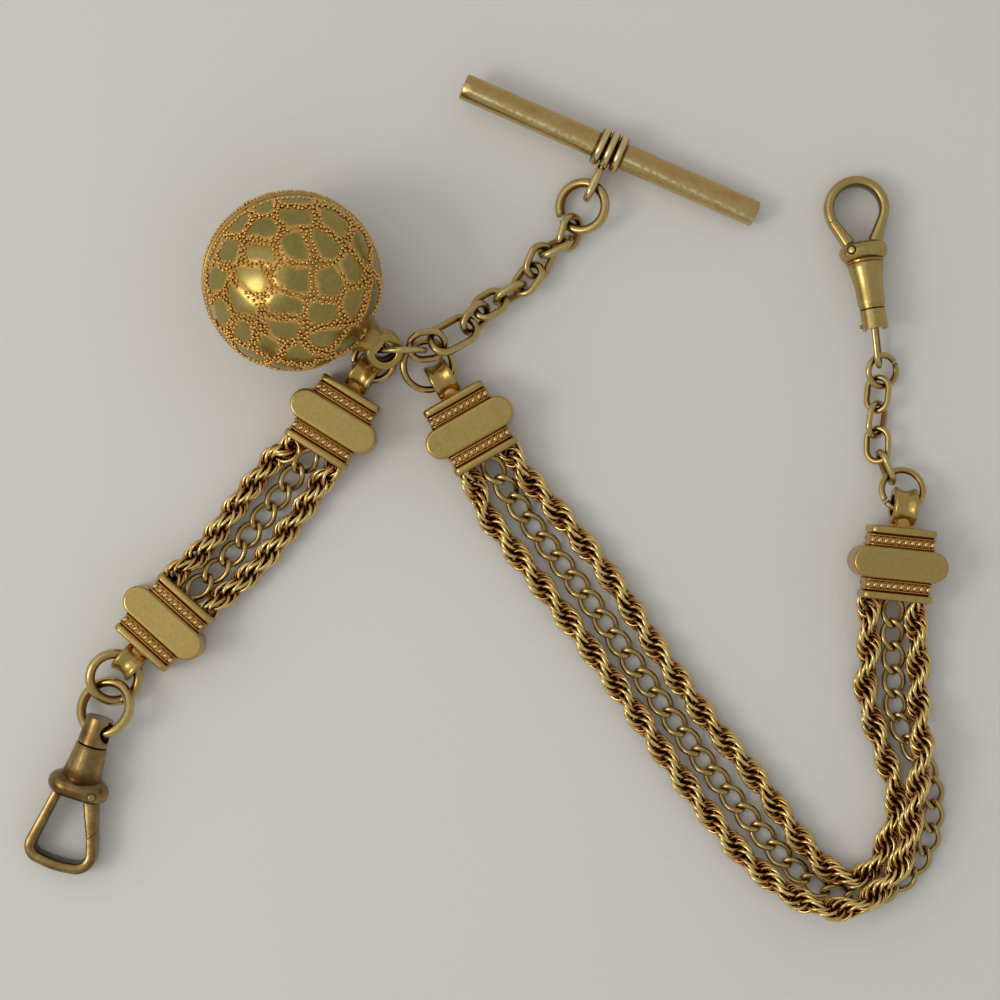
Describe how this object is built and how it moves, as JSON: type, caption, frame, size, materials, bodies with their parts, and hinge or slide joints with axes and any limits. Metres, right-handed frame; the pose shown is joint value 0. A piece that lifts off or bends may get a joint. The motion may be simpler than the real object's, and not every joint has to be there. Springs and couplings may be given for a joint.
{
  "type": "watch chain",
  "caption": "Short watch chain with a toggle bar, a hollow ball fob and two straps of rope and curb strands, each ending in a swivel clip, lying flat.",
  "frame": {"origin": "middle of the whole chain's box, on the table top", "axes": "X to the right and Y up in the picture, Z up from the table"},
  "size_m": [0.0916, 0.0838, 0.0173],
  "materials": {
    "bar_gold": "polished, worn",
    "link_gold": "polished, worn",
    "slide_gold": "polished panel, grained recesses",
    "ball_gold": "polished with granulated lines",
    "rope_gold": "polished, dark recesses",
    "clip_gold": "polished, worn",
    "bronze_clip": "worn, brown"
  },
  "bodies": {
    "chain": {"t_bar": "bar_gold", "t_bar_ring": "link_gold", "bar_link_1": "link_gold", "bar_link_2": "link_gold", "bar_link_3": "link_gold", "bar_link_4": "link_gold", "bar_link_5": "link_gold", "bar_link_6": "link_gold", "bar_link_7": "link_gold", "bar_link_8": "link_gold", "junction_link": "link_gold", "ball_link": "link_gold", "long_strap_ring": "link_gold", "short_strap_ring": "link_gold", "ball_fob": "ball_gold", "long_slide_near": "slide_gold", "long_slide_far": "slide_gold", "long_rope_outer": "rope_gold", "long_rope_inner": "rope_gold", "long_curb": "link_gold", "short_slide_near": "slide_gold", "short_slide_far": "slide_gold", "short_rope_left": "rope_gold", "short_rope_right": "rope_gold", "short_curb": "link_gold", "long_end_ring": "link_gold", "end_link_1": "link_gold", "end_link_2": "link_gold", "end_link_3": "link_gold", "end_link_4": "link_gold", "end_jump_ring": "link_gold", "long_clip_bail": "clip_gold", "long_clip_head": "clip_gold", "short_end_ring_1": "bronze_clip", "short_end_ring_2": "bronze_clip", "short_clip_head": "bronze_clip"},
    "long_clip": {"long_clip_hook": "clip_gold", "long_clip_rivet": "clip_gold"},
    "long_gate": {"long_clip_gate": "clip_gold"},
    "short_clip": {"short_clip_hook": "bronze_clip", "short_clip_rivet": "bronze_clip"},
    "short_gate": {"short_clip_gate": "bronze_clip"}
  },
  "joints": [
    {"name": "long_clip_spin", "type": "hinge", "parent": "chain", "child": "long_clip", "pos_m": [0.03758, 0.02435, 0.00185], "axis": [0.1436, -0.9841, 0.1045], "continuous": true},
    {"name": "long_gate_hinge", "type": "hinge", "parent": "long_clip", "child": "long_gate", "pos_m": [0.03623, 0.02425, 0.00184], "axis": [0.0151, -0.1034, -0.9945], "range_deg": [0, 25], "stiffness_Nm_per_rad": 0.0025, "springref_deg": -5.73},
    {"name": "short_clip_spin", "type": "hinge", "parent": "chain", "child": "short_clip", "pos_m": [-0.04037, -0.02875, 0.00215], "axis": [0.3153, 0.9422, 0.1132], "continuous": true},
    {"name": "short_gate_hinge", "type": "hinge", "parent": "short_clip", "child": "short_gate", "pos_m": [-0.03877, -0.02949, 0.00213], "axis": [0.0359, 0.1074, -0.9936], "range_deg": [0, 25], "stiffness_Nm_per_rad": 0.0025, "springref_deg": -5.73}
  ]
}
